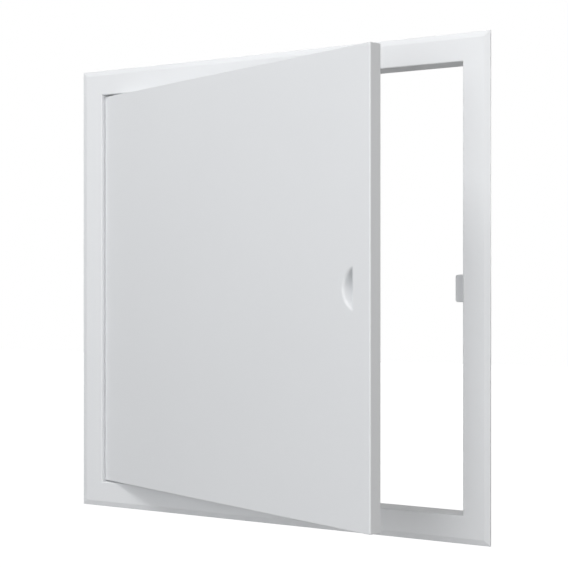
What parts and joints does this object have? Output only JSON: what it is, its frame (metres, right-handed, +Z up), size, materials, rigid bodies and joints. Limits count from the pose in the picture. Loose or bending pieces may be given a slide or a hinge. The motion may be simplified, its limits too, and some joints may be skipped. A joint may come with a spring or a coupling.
{
  "type": "hinged access panel",
  "caption": "Square white plastic access panel: bevelled wall flange and collar with an inset hinged door, half-moon finger pull and magnetic catch.",
  "frame": {"origin": "centre of the opening on the wall plane, which is the back face of the flange", "axes": "+X to the right seen from the room, +Y into the wall, +Z up"},
  "size_m": [0.33, 0.1129, 0.33],
  "materials": {
    "white_plastic": "moulded, fine satin",
    "catch_plastic": "moulded, satin",
    "bright_steel": "bright zinc plated"
  },
  "bodies": {
    "frame": {"frame": "white_plastic", "catch_block": "catch_plastic"},
    "door": {"door_leaf": "white_plastic", "strike_plate": "bright_steel", "upper_hinge_pin": "bright_steel", "lower_hinge_pin": "bright_steel"}
  },
  "joints": [
    {"name": "door_hinge", "type": "hinge", "parent": "frame", "child": "door", "pos_m": [-0.1364, 0.0021, 0], "axis": [0, 0, -1], "range_deg": [-19.8, 80.2]}
  ]
}
